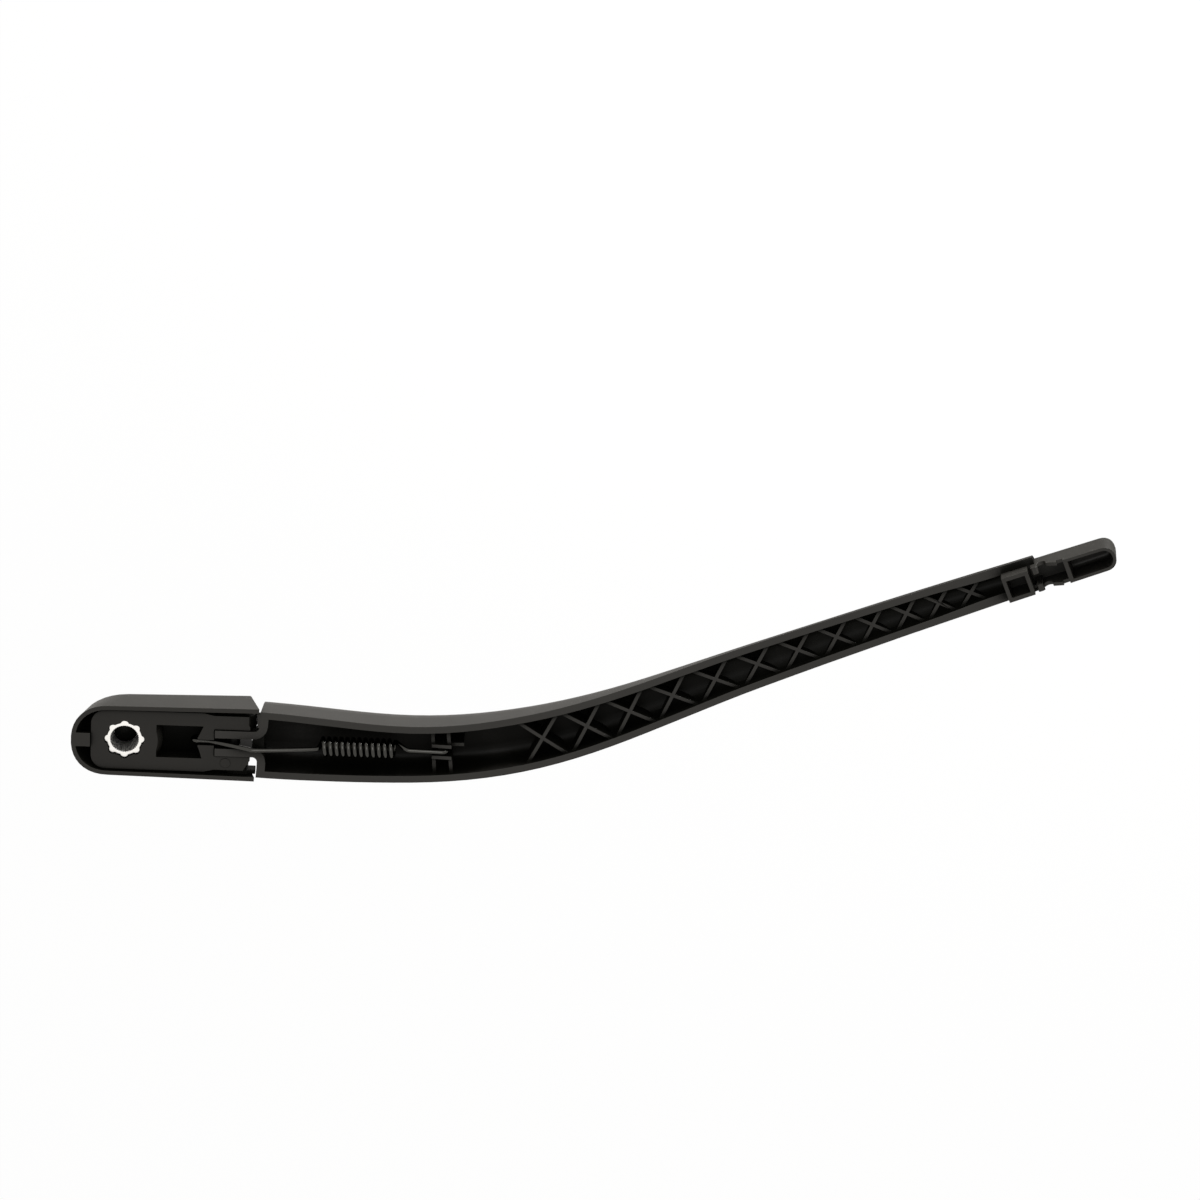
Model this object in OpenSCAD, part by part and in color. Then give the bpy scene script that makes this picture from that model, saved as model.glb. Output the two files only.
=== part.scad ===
// Rear wiper arm, glass side up: mounting head, hinged cover, sprung channel arm
// Origin on the spindle axis, where the bore's taper meets its straight land; +X runs along the head to the tip
// All sizes in millimetres

/* [Spindle insert] */
// Bore of the straight land behind the taper
bore_d = 8.2; // [7:0.1:9]
// Height of the straight land
land_h = 2.5; // [1.5:0.1:4]
// Bore at the mouth of the taper
mouth_d = 10.3; // [9.4:0.1:11]
// Height of the taper
taper_h = 4.3; // [3.5:0.1:5.5]
// Insert across its round body
insert_d = 12.4; // [11.8:0.1:12.8]
// Insert across its lobes
lobe_span = 14.1; // [13.6:0.1:14.6]
// Radius of each lobe round the insert
lobe_r = 1.4; // [1.1:0.1:1.6]
// Number of lobes round the insert
lobe_count = 8; // [6:1:12]

/* [Mounting head] */
// Distance from the spindle axis to the pivot pin
pivot_x = 38.7; // [34:0.1:45]
// Height of the pivot pin's axis against the origin
pivot_z = -1.0; // [-1.5:0.1:-0.5]
// Distance from the spindle axis to the flat left end of the head
head_back = 11.9; // [10:0.1:13]
// Width of the head round the spindle
head_w = 22.8; // [20:0.1:23.4]
// Width over the two prongs
prong_span = 21; // [19:0.1:21.6]
// Radius of the head's two left corners
head_corner_r = 5.3; // [3:0.1:7]
// Thickness of the head's top plate
plate_t = 4.5; // [3.5:0.1:5.5]
// Height of the plate above the insert's mouth
plate_rise = 0.9; // [0.5:0.1:1.2]
// Radius of the boss round the insert, whose side closes the window
boss_r = 13.4; // [12.5:0.1:14.5]
// Thickness of the lip under the insert
boss_lip = 1.2; // [0.8:0.1:2]
// Depth of the bevel round the top of the boss
boss_bevel = 2.4; // [1:0.1:3]
// Width of the window
window_w = 12.6; // [10:0.1:14]
// How far the spring nose points into the window
nose_len = 2.1; // [1.5:0.1:2.6]
// Width of the blunt end of the spring nose
nose_w = 4.4; // [3.6:0.1:6]
// Width of the slot between the prongs
fork_w = 10.5; // [9.5:0.1:11]
// Width of the bar between the window and the fork
bar_w = 3.7; // [3:0.1:5]
// Rim of the prongs round the pin, from its centre
prong_r = 5.0; // [4.2:0.1:5.8]

/* [Head cover] */
// Outer width of the cover at its round end
cover_w = 26.9; // [26:0.1:29]
// Outer width of the cover at the hinge
cover_w_hinge = 28.2; // [27.5:0.1:30]
// Wall of the cover
cover_t = 1.5; // [1.2:0.1:1.7]
// Distance from the spindle axis to the cover's round end
cover_back = 19; // [18:0.1:22]
// Rise of the cover's floor towards its round end
cover_nose_rise = 2.4; // [1.5:0.1:3.5]
// Height of the cover's rim above the plate
rim_rise = 1.0; // [0.5:0.1:1.5]
// Draft of the cover's side walls in degrees
cover_draft = 2; // [0:0.5:3]
// Radius of the cover's outer edge
cover_edge_r = 4; // [3:0.1:4.5]
// Lean of the cover's round end, in degrees
cover_lean = 14; // [8:0.5:18]
// Distance from the pin to the cover's hinge end, at the rim
cover_reach = 8.3; // [7.6:0.1:8.4]
// Width of the snap tab at the cover's nose
tab_w = 5.2; // [4:0.1:7]

/* [Hinge] */
// Pivot pin
pin_d = 4.5; // [4:0.1:5]
// Radial clearance of the pin in the ears and the cover
pin_clear = 0.05; // [0.03:0.01:0.08]
// Radial clearance of the pin in the prongs
pin_seat_clear = 0.02; // [0.01:0.01:0.05]
// Side gap between the ears and the prongs
ear_gap = 0.3; // [0.2:0.05:0.5]
// Thickness of each ear
ear_t = 2.9; // [2.6:0.1:3.2]
// Radius of the round ear end about the pin
ear_r = 6.6; // [5.8:0.1:6.6]
// Radius kept free about the pin for the cover's end
sweep_r = 9.75; // [9.7:0.05:9.9]
// Gap between the cover's end and the arm at the rim
end_gap = 0.5; // [0.4:0.05:0.8]

/* [Arm channel] */
// Depth from the cover's rim to the outer face on which the arm lies
overall_depth = 15.6; // [15.4:0.1:16.4]
// Length along the middle of the arm, from its hinge end to the tip
arm_len = 275; // [240:1:320]
// Width at the hinge end
arm_w_hinge = 25.6; // [24.6:0.1:26]
// Width at the waist beside the spring
arm_w_waist = 21.9; // [20.5:0.1:24]
// Width in the bend
arm_w_bend = 21.1; // [19:0.1:23]
// Width where the straight run starts
arm_w_straight = 18; // [16:0.1:20]
// Width at the tip
arm_w_tip = 13.4; // [12.8:0.1:15]
// Depth at the hinge end
arm_d_hinge = 15; // [14.5:0.1:15.2]
// Depth in the bend
arm_d_bend = 13; // [12:0.1:14]
// Depth where the straight run starts
arm_d_straight = 9.2; // [8:0.1:11]
// Depth at the tip
arm_d_tip = 6.8; // [6:0.1:8]
// Width of the flat rim
rim_t = 2.6; // [2:0.1:3]
// Thickness of the floor
floor_t = 2.1; // [1.6:0.1:2.6]
// Thickness of the walls across the hinge end
end_wall_t = 3; // [2.4:0.1:3.4]
// Direction at the hinge end, in degrees from the head
root_heading = -2.8; // [-4:0.1:2]
// Bend in plan, in degrees
bend_angle = 26; // [0:0.5:32]
// Length along the arm before the bend
bend_start = 21.5; // [15:0.5:40]
// Length of the bend
bend_len = 128; // [100:1:150]
// Slow turn back towards the tip, in degrees
turn_back = 1.7; // [0:0.1:6]

/* [Crossed ribs] */
// Number of crossed rib pairs
rib_count = 12; // [4:1:12]
// Distance along the arm from its hinge end to the first crossing
rib_first = 101.5; // [98:0.5:110]
// Spacing of the first crossings
rib_pitch = 16.2; // [14:0.1:16.5]
// Spacing of the last crossings
rib_pitch_tip = 11.9; // [10:0.1:13]
// Thickness of a rib
rib_t = 1.2; // [1:0.05:1.6]
// Drop of the ribs under the rim
rib_drop = 1.5; // [1:0.1:2.5]

/* [Tension spring] */
// Spring wire
wire_d = 1.6; // [1.2:0.1:1.7]
// Outer diameter of the coil
coil_d = 7.6; // [6.4:0.1:8]
// Number of turns
coil_turns = 12; // [8:1:12]
// Pitch of the stretched turns
coil_pitch = 2.15; // [1.9:0.05:2.2]
// Distance from the pivot to the start of the coil
coil_reach = 32.4; // [30:0.1:36]
// Height of the coil's axis against the origin
coil_z = 2.6; // [1.5:0.1:3]
// Sideways place of the coil's axis
coil_y = -1.1; // [-2:0.1:0]
// Height of the wire where it crosses the pin, above the pin's axis
lift_z = 9.3; // [8.6:0.1:10]
// Distance from the pivot to the anchor bar in the arm
anchor_reach = 74; // [72:0.1:80]
// Diameter of the anchor bar
anchor_d = 2.6; // [2.2:0.1:3]
// Clear width between the two plates of the anchor cradle
cradle_w = 3.1; // [2.6:0.1:3.6]
// Wall of the anchor cradle
cradle_t = 1.25; // [1:0.05:1.6]
// Length of the anchor cradle along the arm
cradle_len = 7; // [6:0.1:9]

/* [Blade seat and hood] */
// Outer width of the tip at the box
tip_w = 9.8; // [9:0.1:10.4]
// Outer width of the hood before its round end
hood_w = 9.1; // [8:0.1:9.6]
// Sideways place of the tip's middle against the arm's middle
tip_shift = -1; // [-1.2:0.1:0]
// Depth of the tip from its rim to the outer face
tip_d = 11.2; // [10.6:0.1:12]
// Wall of the tip
tip_t = 1.5; // [1.2:0.1:1.8]
// Wall of the hood
hood_t = 1.1; // [0.9:0.1:1.4]
// Radius of the tip's outer edge
tip_edge_r = 2.8; // [2:0.1:3.2]
// Length of the box before the blade seat
box_len = 9.6; // [8:0.1:12]
// Length of the open blade seat
seat_len = 13.1; // [12.5:0.1:15]
// Length of the hood
hood_len = 18.3; // [14:0.1:24]
// Blade pin that snaps into the seat
blade_pin_d = 3.4; // [3:0.1:3.8]
// Radial clearance of the blade pin in its seat
blade_pin_clear = 0.05; // [0.02:0.01:0.1]
// Distance from the box to the blade pin's axis
blade_pin_at = 5.2; // [4.8:0.1:6]
// Depth of the blade pin's axis under the tip's rim
blade_pin_drop = 2.9; // [2.6:0.1:3.3]
// Width of the slot between the box and the seat's lugs
lug_slot = 1.3; // [1:0.1:1.5]

/* [Hidden] */
$fn = 48;
eps = 0.01;
black = [0.09, 0.09, 0.09];
steel = [0.35, 0.35, 0.36];
bright = [0.8, 0.8, 0.8];

// Levels
insert_top = taper_h;
plate_top = insert_top + plate_rise;
plate_bottom = plate_top - plate_t;
rim_z = plate_top + rim_rise;
floor_z = rim_z - overall_depth;
boss_bottom = -land_h - boss_lip;
seat_bevel = 0.3;
head_gap = 0.35;

// Pin, ears and prongs
pin_r = pin_d / 2;
pin_hole_r = pin_r + pin_clear;
pin_seat_r = pin_r + pin_seat_clear;
ear_out = fork_w / 2 - ear_gap;
ear_in = ear_out - ear_t;
prong_out = prong_span / 2;
socket_face = prong_out + 0.5;
socket_wall = 2;
socket_skin = 0.7;
block_len = 5.2;
block_low = 3;
block_high = 4.6;
end_play = 0.1;
fork_x = pivot_x - ear_r - ear_gap;
window_end = fork_x - bar_w;
prong_end_x = pivot_x + prong_r + 0.9;
cheek_r = 7.6;
neck_low = 1.6;
neck_side = 0.15;
web_t = 1.8;
band_z = 4;

// Cover
round_x = cover_w / 2 - cover_back;
round_power = 2.25;
round_shift = 0.5;
cover_end_x = pivot_x + cover_reach;
cover_end_slope = 0.282;
cover_relief = 1.9;
cover_relief_x = pivot_x + 0.3;
inner_floor_z = floor_z + cover_t;
tab_gap = 0.3;
tab_t = 1.8;

// Arm
arm_x = cover_end_x + end_gap;
arm_rim_z = floor_z + arm_d_hinge;
end_slant = 6;
end_skew = 3;
waist_at = bend_start + 0.24 * bend_len;
mid_at = bend_start + 0.575 * bend_len;
straight_at = bend_start + bend_len;
slim_at = straight_at + 30;
tray_over = 12.4;
end_over = 2;
tray_rim = 3.3;
arm_end = arm_len + tray_over;
width_rows = [[0, arm_w_hinge / 2], [waist_at, arm_w_waist / 2], [mid_at, arm_w_bend / 2],
    [straight_at, arm_w_straight / 2], [arm_len, arm_w_tip / 2], [arm_end, arm_w_tip / 2 - 0.2]];
depth_rows = [[0, arm_d_hinge], [waist_at, arm_d_hinge], [mid_at, arm_d_bend],
    [straight_at, arm_d_straight], [slim_at, arm_d_tip + 0.5], [arm_end, arm_d_tip]];
power_rows = [[0, 4.6], [waist_at, 5], [mid_at, 4.3], [straight_at, 2.6], [slim_at, 2.1], [arm_end, 2]];
rim_rows = [[0, rim_t], [arm_len - 30, rim_t], [arm_len - 5, tray_rim], [arm_end, tray_rim]];
arm_steps = 46;
round_steps = 15;

// Tip
tip_rim_z = floor_z + tip_d;
tip_len = box_len + seat_len + hood_len;
seat_end = box_len + seat_len;
blade_r = blade_pin_d / 2 + blade_pin_clear;
blade_x = box_len + blade_pin_at;
blade_z = tip_rim_z - blade_pin_drop;
tip_floor_z = floor_z + 2;
lug_len = 2.2;
lug_w = 2.8;
lug_drop = 1.1;
snap = 0.3;
slot_drop = 5;
hood_gap = 2.4;
hood_gap_drop = 1.5;
wall_2_t = 1.3;

// Spring
wire_r = wire_d / 2;
coil_r = coil_d / 2 - wire_r;
coil_x = pivot_x + coil_reach;
coil_end_x = coil_x + coil_turns * coil_pitch;
wire_seat = 0.03;
nose_x = window_end - nose_len;
groove_w = wire_d + 0.6;
groove_z = plate_bottom + 2.2;
hook_z = (groove_z + plate_bottom) / 2;
hook_r = (groove_z - plate_bottom) / 2 + wire_r + wire_seat;
lift_x = pivot_x + 6.6;
lift_y = -0.9;
anchor_x = pivot_x + anchor_reach;
anchor_s = anchor_x - arm_x;
anchor_hook_r = anchor_d / 2 + wire_r + wire_seat;
wire_end_z = coil_z + 1.3;
anchor_z = wire_end_z - anchor_hook_r;
cradle_y = coil_y;
cradle_slope = 0.1;
lug_reach = 4.4;
lug_low = 2.2;

function smooth(t) = let(u = min(max(t, 0), 1)) u * u * (3 - 2 * u);

function bulge(v, power) = sign(v) * pow(abs(v), 2 / power);

// Value at distance s along rows of [distance, value], as a smooth curve through all rows
function row_slope(rows, i) =
    let(
        a = max(i - 1, 0),
        b = min(i + 1, len(rows) - 1),
        turns = (rows[i][1] - rows[a][1]) * (rows[b][1] - rows[i][1]) <= 0
    )
    turns ? 0 : (rows[b][1] - rows[a][1]) / (rows[b][0] - rows[a][0]);
function along(rows, s) =
    let(
        u = min(max(s, 0), rows[len(rows) - 1][0]),
        i = min(len(rows) - 2, max([for (k = [0 : len(rows) - 1]) if (rows[k][0] <= u) k])),
        a = rows[i],
        b = rows[i + 1],
        span = b[0] - a[0],
        t = (u - a[0]) / span
    )
    (2 * t * t * t - 3 * t * t + 1) * a[1] + (t * t * t - 2 * t * t + t) * row_slope(rows, i) * span
    + (3 * t * t - 2 * t * t * t) * b[1] + (t * t * t - t * t) * row_slope(rows, i + 1) * span;

// Middle of the arm in plan, one point a millimetre
function heading(s) = root_heading + bend_angle * smooth((s - bend_start) / bend_len)
    - turn_back * min(max(s - straight_at, 0) / (arm_len - straight_at), 1);
track = [for (i = 0, p = [arm_x, 0]; i <= arm_end + 2;
    p = p + [cos(heading(i + 0.5)), sin(heading(i + 0.5))], i = i + 1) p];
function arm_point(s) = let(i = floor(max(s, 0))) track[i] + (s - i) * [cos(heading(s)), sin(heading(s))];
function arm_place(s, y, z) =
    let(p = arm_point(s))
    [p.x - y * sin(heading(s)), p.y + y * cos(heading(s)), z];

// Solid between rings of equal length, each ring turning right-handed about the way it goes
module loft(rings) {
    n = len(rings[0]);
    last = (len(rings) - 1) * n;
    sides = [for (i = [0 : len(rings) - 2], j = [0 : n - 1])
        let(a = i * n + j, b = i * n + (j + 1) % n)
        each [[a, b + n, b], [a, a + n, b + n]]];
    start = [for (k = [0 : n / 2 - 2])
        each [[k, k + 1, n - 1 - k], if (k < n / 2 - 1) [k + 1, n - 2 - k, n - 1 - k]]];
    end = [for (f = start) [last + f[2], last + f[1], last + f[0]]];
    polyhedron(points = [for (ring = rings) each ring], faces = concat(sides, start, end));
}

module along_y(r, y0, y1) {
    translate([0, y0, 0]) rotate([-90, 0, 0]) cylinder(r = r, h = y1 - y0);
}

// Spindle insert
module lobed(grow) {
    linear_extrude(land_h + taper_h) {
        circle(d = insert_d + 2 * grow);
        for (i = [0 : lobe_count - 1]) {
            rotate(i * 360 / lobe_count) translate([lobe_span / 2 - lobe_r, 0]) circle(r = lobe_r + grow);
        }
    }
}

module spindle_insert() {
    color(bright) difference() {
        translate([0, 0, -land_h]) lobed(0);
        rotate_extrude()
            polygon([[0, -land_h - 1], [bore_d / 2, -land_h - 1], [bore_d / 2, 0], [mouth_d / 2, taper_h],
                [mouth_d / 2, taper_h + 1], [0, taper_h + 1]]);
    }
}

// Mounting head
module head_outline() {
    r = head_corner_r;
    for (side = [-1, 1]) {
        translate([-head_back + r, side * (head_w / 2 - r)]) circle(r = r);
    }
    translate([-head_back, -head_w / 2 + r]) square([2 * r, head_w - 2 * r]);
    translate([-head_back + r, -head_w / 2]) square([head_back - r + window_end, head_w]);
    step_x = window_end + bar_w;
    polygon([[window_end - eps, -head_w / 2], [step_x, -prong_out], [step_x, prong_out],
        [window_end - eps, head_w / 2]]);
    translate([step_x - eps, -prong_out]) square([pivot_x - step_x + eps, 2 * prong_out]);
}

module window_outline() {
    half = window_w / 2;
    left = boss_r - 2.1;
    polygon([[left, -half], [window_end - 0.6, -half], [nose_x + 0.3, -nose_w / 2], [nose_x, -nose_w / 2 + 0.5],
        [nose_x, nose_w / 2 - 0.5], [nose_x + 0.3, nose_w / 2], [window_end, half], [left, half]]);
}

// What lies outside the cover's cavity and the gap along its wall
module beside_head() {
    difference() {
        translate([-40, -30, boss_bottom - 1]) cube([100, 60, plate_top + 2 - boss_bottom]);
        loft(cover_rings(overall_depth - cover_t, cover_edge_r - cover_t - head_gap, cover_t + head_gap, 30, 4));
    }
}

module mounting_head() {
    prong_points = [[fork_x - 1, fork_w / 2], [prong_end_x, fork_w / 2], [prong_end_x, prong_out - 4],
        [prong_end_x - 2.4, prong_out], [fork_x - 1, prong_out]];
    color(black) difference() {
        union() {
            translate([0, 0, plate_bottom]) linear_extrude(plate_t) difference() {
                head_outline();
                window_outline();
            }
            intersection() {
                union() {
                    translate([0, 0, boss_bottom])
                        cylinder(r = boss_r, h = plate_top - boss_bevel - boss_bottom);
                    translate([0, 0, plate_top - boss_bevel])
                        cylinder(r1 = boss_r, r2 = boss_r - 1.6, h = boss_bevel);
                }
                translate([0, 0, boss_bottom]) linear_extrude(plate_top - boss_bottom) head_outline();
            }
            for (side = [-1, 1]) {
                y0 = side > 0 ? fork_w / 2 : -prong_out;
                translate([pivot_x, 0, pivot_z]) along_y(prong_r, y0, y0 + prong_out - fork_w / 2);
                translate([fork_x, y0, pivot_z - prong_r])
                    cube([pivot_x - fork_x, prong_out - fork_w / 2, prong_r]);
                translate([0, 0, pivot_z]) linear_extrude(plate_top - pivot_z)
                    polygon([for (p = prong_points) [p.x, side * p.y]]);
            }
            intersection() {
                translate([pivot_x, 0, pivot_z]) along_y(cheek_r, fork_w / 2, prong_out);
                translate([pivot_x, fork_w / 2, pivot_z]) cube([cheek_r, prong_out, plate_top - pivot_z]);
            }
        }
        translate([0, 0, -land_h]) lobed(0);
        translate([0, 0, insert_top - eps]) lobed(seat_bevel);
        translate([0, 0, boss_bottom - 1]) cylinder(d = insert_d - 0.4, h = land_h + boss_lip + 2);
        translate([fork_x, -fork_w / 2, boss_bottom - 10]) cube([60, fork_w, 40]);
        translate([nose_x - 5, -groove_w / 2, groove_z]) cube([60, groove_w, 20]);
        translate([pivot_x, 0, pivot_z]) along_y(pin_seat_r, -20, 20);
        beside_head();
    }
}

// Head cover
function cover_half(x) =
    cover_w / 2 + (cover_w_hinge - cover_w) / 2 * max(x - round_x, 0) / (cover_end_x - round_x);
function cover_z(x, h) =
    rim_z - h * (1 - cover_nose_rise * smooth((14 - x) / 32) / overall_depth);
function cover_ring(h, inset, reach) =
    let(
        n = 20,
        cx = round_x + round_shift * h,
        rx = cover_w / 2 + (round_shift - tan(cover_lean)) * h - inset,
        drop = max(h, 0) * tan(cover_draft) + inset,
        end_x = cover_end_x - cover_end_slope * h + reach,
        skew = tan(end_skew),
        end_y = cover_half(cover_end_x) - drop,
        round_part = [for (k = [0 : n - 1])
            let(a = -90 + 180 * k / (n - 1), x = cx - rx * bulge(cos(a), round_power))
            [x, (cover_half(cx) - drop) * bulge(sin(a), round_power), cover_z(x, h)]]
    )
    concat([[end_x - end_y * skew, -end_y, cover_z(end_x, h)]], round_part,
        [[end_x + end_y * skew, end_y, cover_z(end_x, h)]]);
function cover_rings(depth, edge, inset, reach, above) = [
    for (h = [-above, (depth - edge) / 2, depth - edge]) cover_ring(h, inset, reach),
    for (a = [18 : 18 : 90]) cover_ring(depth - edge + edge * sin(a), inset + edge * (1 - cos(a)), reach)
];

module head_cover() {
    pin_y = cover_half(pivot_x) - (rim_z - pivot_z) * tan(cover_draft) - socket_skin;
    color(black) difference() {
        union() {
            difference() {
                loft(cover_rings(overall_depth, cover_edge_r, 0, 0, 0));
                loft(cover_rings(overall_depth - cover_t, cover_edge_r - cover_t, cover_t, 8, 2));
            }
            for (side = [-1, 1]) {
                y0 = side > 0 ? socket_face : -pin_y - eps;
                translate([pivot_x, 0, pivot_z]) along_y(pin_r + socket_wall, y0, y0 + pin_y - socket_face + eps);
                translate([pivot_x, y0, pivot_z - block_low])
                    cube([block_len, pin_y - socket_face + eps, block_low + block_high]);
            }
            translate([-cover_back + cover_t / 2, -tab_w / 2, rim_z - tab_t])
                cube([cover_back - head_back - tab_gap - cover_t / 2, tab_w, tab_t]);
        }
        translate([pivot_x, 0, pivot_z]) along_y(pin_hole_r, -pin_y, pin_y);
        translate([cover_relief_x, -fork_w / 2 - cover_relief, floor_z - 1])
            cube([20, fork_w + 2 * cover_relief, 4]);
    }
}

module pivot_pin() {
    half = cover_half(pivot_x) - (rim_z - pivot_z) * tan(cover_draft) - socket_skin - end_play;
    color(steel) translate([pivot_x, 0, pivot_z]) along_y(pin_r, -half, half);
}

// Arm channel, as rings across the arm
function arm_ring(s) =
    let(
        w = along(width_rows, s),
        d = along(depth_rows, s),
        power = along(power_rows, s),
        rim = along(rim_rows, s),
        top = floor_z + d,
        turns = [for (k = [0 : round_steps]) 180 * k / round_steps]
    )
    concat(
        [for (a = turns) arm_place(s, -w * bulge(cos(a), power), top - d * bulge(sin(a), power))],
        [for (a = turns) arm_place(s, (w - rim) * bulge(cos(a), power),
            top - (d - floor_t) * bulge(sin(a), power))]
    );

// Middle of the channel's wall at a turn of 0 to 180 degrees, as [sideways, height]
function wall_point(s, a) =
    let(power = along(power_rows, s), d = along(depth_rows, s))
    [(along(width_rows, s) - along(rim_rows, s) / 2) * bulge(cos(a), power),
        floor_z + d - (d - floor_t / 2) * bulge(sin(a), power)];

// What lies before the slanted hinge end of the arm
module before_end() {
    translate([arm_x, 0, arm_rim_z]) rotate([0, 0, -end_skew]) rotate([0, -end_slant, 0])
        translate([-20, -40, -40]) cube([20, 80, 80]);
}

// What the cover's floor sweeps beside the necks as it opens
module swept_by_cover() {
    for (side = [-1, 1]) {
        y0 = side > 0 ? fork_w / 2 + neck_side : -20;
        intersection() {
            translate([pivot_x, 0, pivot_z]) along_y(sweep_r, y0, y0 + 20 - fork_w / 2 - neck_side);
            translate([0, -20, floor_z - 1]) cube([100, 40, band_z - floor_z + 1]);
        }
    }
}

module channel() {
    difference() {
        loft([for (i = [0 : arm_steps]) arm_ring((arm_end + end_over) * i / arm_steps - end_over)]);
        before_end();
        swept_by_cover();
    }
}

// Flat rib across the channel, at a turn to the arm and with its top a drop under the rim
module rib(s, turn, drop, thick) {
    start = asin(pow(drop / (along(depth_rows, s) - floor_t / 2), along(power_rows, s) / 2));
    angles = [for (k = [0 : 12]) start + (180 - 2 * start) * k / 12];
    line = [for (a = angles)
        let(guess = wall_point(s, a).x / sin(turn), p = wall_point(s + guess * cos(turn), a))
        [p.x / sin(turn), p.y]];
    p = arm_point(s);
    translate([p.x, p.y, 0]) rotate([90, 0, heading(s) + turn]) linear_extrude(thick, center = true) polygon(line);
}

module crossed_ribs() {
    pitches = [for (i = [0 : rib_count - 1]) rib_pitch + (rib_pitch_tip - rib_pitch) * smooth((i - 3) / 7)];
    places = [for (i = 0, s = rib_first; i < rib_count; s = s + pitches[i], i = i + 1) s];
    for (i = [0 : rib_count - 1]) {
        width = 2 * wall_point(places[i], 0).x;
        for (side = [-1, 1]) {
            rib(places[i], side * atan2(width, pitches[i]), rib_drop, rib_t);
        }
    }
}

// Ear, its bend and the start of the wall across the hinge end, in plan
module strip_outline(side) {
    bend_y = ear_out + 1.85;
    ri = bend_y - ear_out;
    ro = bend_y - ear_in;
    cx = arm_x - ri;
    outer = [for (a = [-90 : 15 : 0]) [cx + ro * cos(a), bend_y + ro * sin(a)]];
    inner = [for (a = [0 : -15 : -90]) [cx + ri * cos(a), bend_y + ri * sin(a)]];
    points = concat([[pivot_x, ear_in]], outer, [[cx + ro, bend_y + 0.5], [cx + ri, bend_y + 0.5]], inner,
        [[pivot_x, ear_out]]);
    polygon([for (p = points)
        let(skew = p.x > cx + eps ? side * p.y * tan(end_skew) : 0)
        [p.x + skew, side * p.y]]);
}

module hinge_end() {
    neck_z = pivot_z + neck_low;
    low_z = floor_z + floor_t / 2;
    difference() {
        for (side = [-1, 1]) {
            translate([0, 0, neck_z]) linear_extrude(arm_rim_z - neck_z) strip_outline(side);
        }
        swept_by_cover();
    }
    difference() {
        union() {
            for (side = [-1, 1]) {
                translate([0, 0, low_z]) linear_extrude(neck_z - low_z + eps) strip_outline(side);
            }
            difference() {
                translate([end_wall_t / 2 * cos(root_heading), end_wall_t / 2 * sin(root_heading), 0])
                    rib(0, 90, 0, end_wall_t);
                translate([arm_x - 10, -ear_out - 1.85, floor_z - 1]) cube([30, 2 * ear_out + 3.7, 40]);
            }
        }
        before_end();
        swept_by_cover();
    }
    translate([pivot_x + ear_r, -ear_out, neck_z]) cube([arm_x + 2 - pivot_x - ear_r, 2 * ear_out, web_t]);
    for (y0 = [-ear_out, ear_in]) {
        translate([pivot_x, 0, pivot_z]) along_y(ear_r, y0, y0 + ear_t);
        translate([pivot_x - ear_r, y0, pivot_z]) cube([ear_r, ear_t, arm_rim_z - pivot_z]);
    }
}

// Cradle for the spring's end
module cradle() {
    half = cradle_len / 2;
    top = anchor_z + anchor_d / 2 + 0.9;
    p = arm_place(anchor_s, 0, 0);
    translate([p.x, cradle_y, 0]) rotate(heading(anchor_s) * 0.25) {
        for (side = [-1, 1]) {
            translate([0, side * (cradle_w + cradle_t) / 2, 0]) rotate([90, 0, 0])
                linear_extrude(cradle_t, center = true)
                polygon([[-half, floor_z + floor_t / 2], [half, floor_z + floor_t / 2],
                    [half, top + cradle_slope * half], [-half, top - cradle_slope * half]]);
        }
        translate([0, 0, anchor_z]) along_y(anchor_d / 2, -cradle_w / 2 - eps, cradle_w / 2 + eps);
        translate([half - eps, cradle_w / 2, floor_z + floor_t / 2])
            cube([lug_reach, cradle_t, top - lug_low - floor_z - floor_t / 2]);
    }
    for (end = [-1, 1]) {
        s = anchor_s + end * (half - cradle_t / 2);
        difference() {
            rib(s, 90, arm_rim_z - top - end * cradle_slope * half + 0.6, cradle_t);
            q = arm_point(s);
            translate([q.x - 5, cradle_y - cradle_w / 2 - cradle_t / 2, floor_z - 1])
                cube([10, cradle_w + cradle_t, 40]);
        }
    }
}

// Tip, in its own frame with x along the arm
function tip_half(x) = tip_w / 2 + (hood_w - tip_w) / 2 * min(max(x, 0) / (tip_len - hood_w / 2), 1);
function tip_ring(z, x0, inset) =
    let(n = 14, cx = tip_len - hood_w / 2)
    concat([[x0, tip_half(x0) - inset, z]],
        [for (k = [0 : n - 1])
            let(a = 90 - 180 * k / (n - 1))
            [cx + (hood_w / 2 - inset) * bulge(cos(a), 2.2), (tip_half(cx) - inset) * bulge(sin(a), 2.2), z]],
        [[x0, -tip_half(x0) + inset, z]]);
function tip_rings(x0, inset, floor_level, edge, top) = [
    for (z = [top, floor_level + edge]) tip_ring(z, x0, inset),
    for (a = [18 : 18 : 90]) tip_ring(floor_level + edge - edge * sin(a), x0, inset + edge * (1 - cos(a)))
];

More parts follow.
